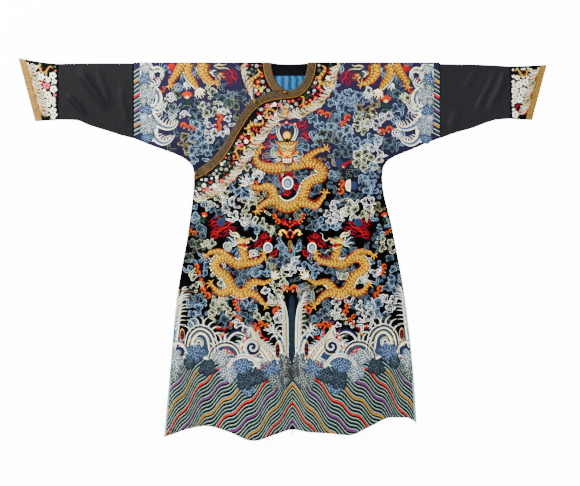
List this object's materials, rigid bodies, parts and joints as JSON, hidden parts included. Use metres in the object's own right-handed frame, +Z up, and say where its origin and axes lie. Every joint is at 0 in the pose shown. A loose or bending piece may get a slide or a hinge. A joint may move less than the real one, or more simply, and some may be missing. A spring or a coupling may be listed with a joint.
{
  "type": "embroidered court robe",
  "caption": "Full-length silk robe with an overlapping front that fastens at the wearer's right, long ribbed sleeves and flared hoof-shaped cuffs, laid flat.",
  "frame": {"origin": "on the floor under the middle of the laid robe's box", "axes": "+X to the wearer's left, +Y towards the neck, +Z up, away from the surface the robe lies on"},
  "size_m": [1.9605, 1.4162, 0.0389],
  "materials": {
    "satin": "smooth silk satin, midnight blue, embroidered all over",
    "ribbed_silk": "finely ribbed black silk",
    "black_satin": "black silk satin, embroidered",
    "brocade": "brown and gold patterned brocade",
    "lining": "soft light blue silk",
    "edging": "pale blue silk",
    "brass": "gilt, chased"
  },
  "bodies": {
    "root": {"body_left": "satin", "body_right": "satin", "outer_front": "satin", "sleeve_left": "ribbed_silk", "sleeve_right": "ribbed_silk", "cuff_left": "black_satin", "cuff_right": "black_satin", "cuff_trim_left": "brocade", "cuff_trim_right": "brocade", "front_trim": "brocade", "neck_trim_right": "brocade", "collar_band": "black_satin", "collar_band_right": "black_satin", "back_neck_facing": "black_satin", "neck_lining": "lining", "slit_edging_left": "edging", "slit_edging_right": "edging", "strap_collar_bone": "brocade", "loop_neck": "brocade", "loop_collar_bone": "brocade", "loop_underarm": "brocade", "loop_side_upper": "brocade", "loop_side_lower": "brocade", "button_neck": "brass", "button_collar_bone": "brass", "button_underarm": "brass", "button_side_upper": "brass", "button_side_lower": "brass"}
  },
  "joints": []
}
